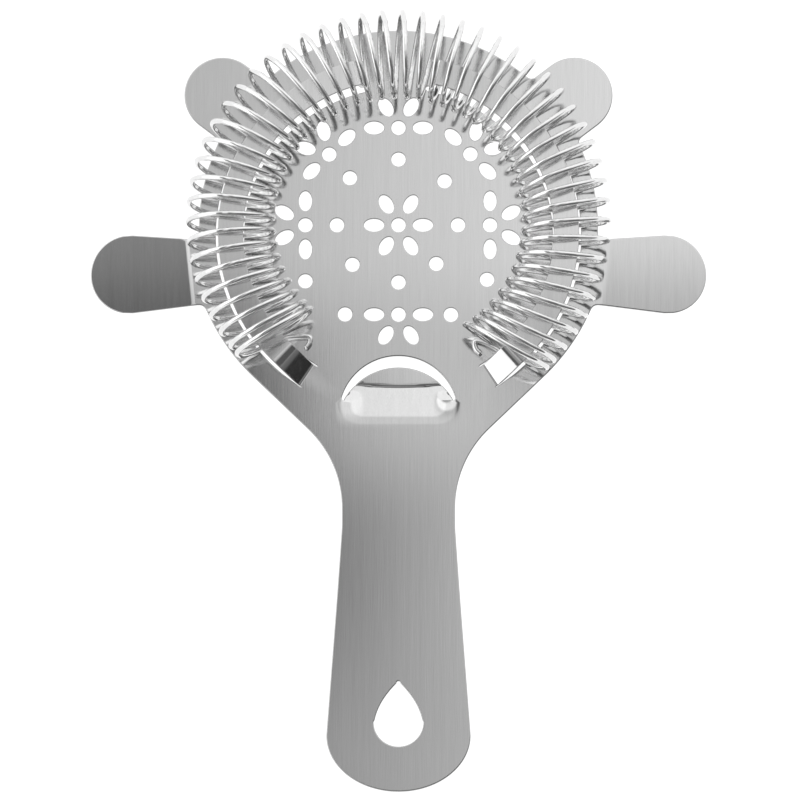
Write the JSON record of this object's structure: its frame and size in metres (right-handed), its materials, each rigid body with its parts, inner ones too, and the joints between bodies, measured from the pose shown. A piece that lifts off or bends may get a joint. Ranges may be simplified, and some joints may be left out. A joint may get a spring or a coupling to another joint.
{
  "type": "hawthorne strainer",
  "caption": "Flat perforated steel disc with a long handle, four side wings and a finger tab, ringed on one side by a coil spring that seals it inside a shaker tin.",
  "frame": {"origin": "on the centre line, on the spring side of the sheet, where the root of the handle rests on a tin's rim, 44.5 mm from the centre of the round rim", "axes": "+Z out of the spring side, which faces down into the tin in use; +Y towards the front of the rim, away from the handle; +X to the right when looking at the spring side"},
  "size_m": [0.1212, 0.1539, 0.023],
  "materials": {
    "satin_steel": "satin, brushed along the handle",
    "bright_wire": "bright drawn stainless wire"
  },
  "bodies": {
    "plate": {"strainer_plate": "satin_steel"},
    "spring": {"coil_spring": "bright_wire"}
  },
  "joints": [
    {"name": "spring_press", "type": "slide", "parent": "plate", "child": "spring", "axis": [0, -1, 0], "range_m": [0, 0.0015], "stiffness_N_per_m": 150}
  ]
}
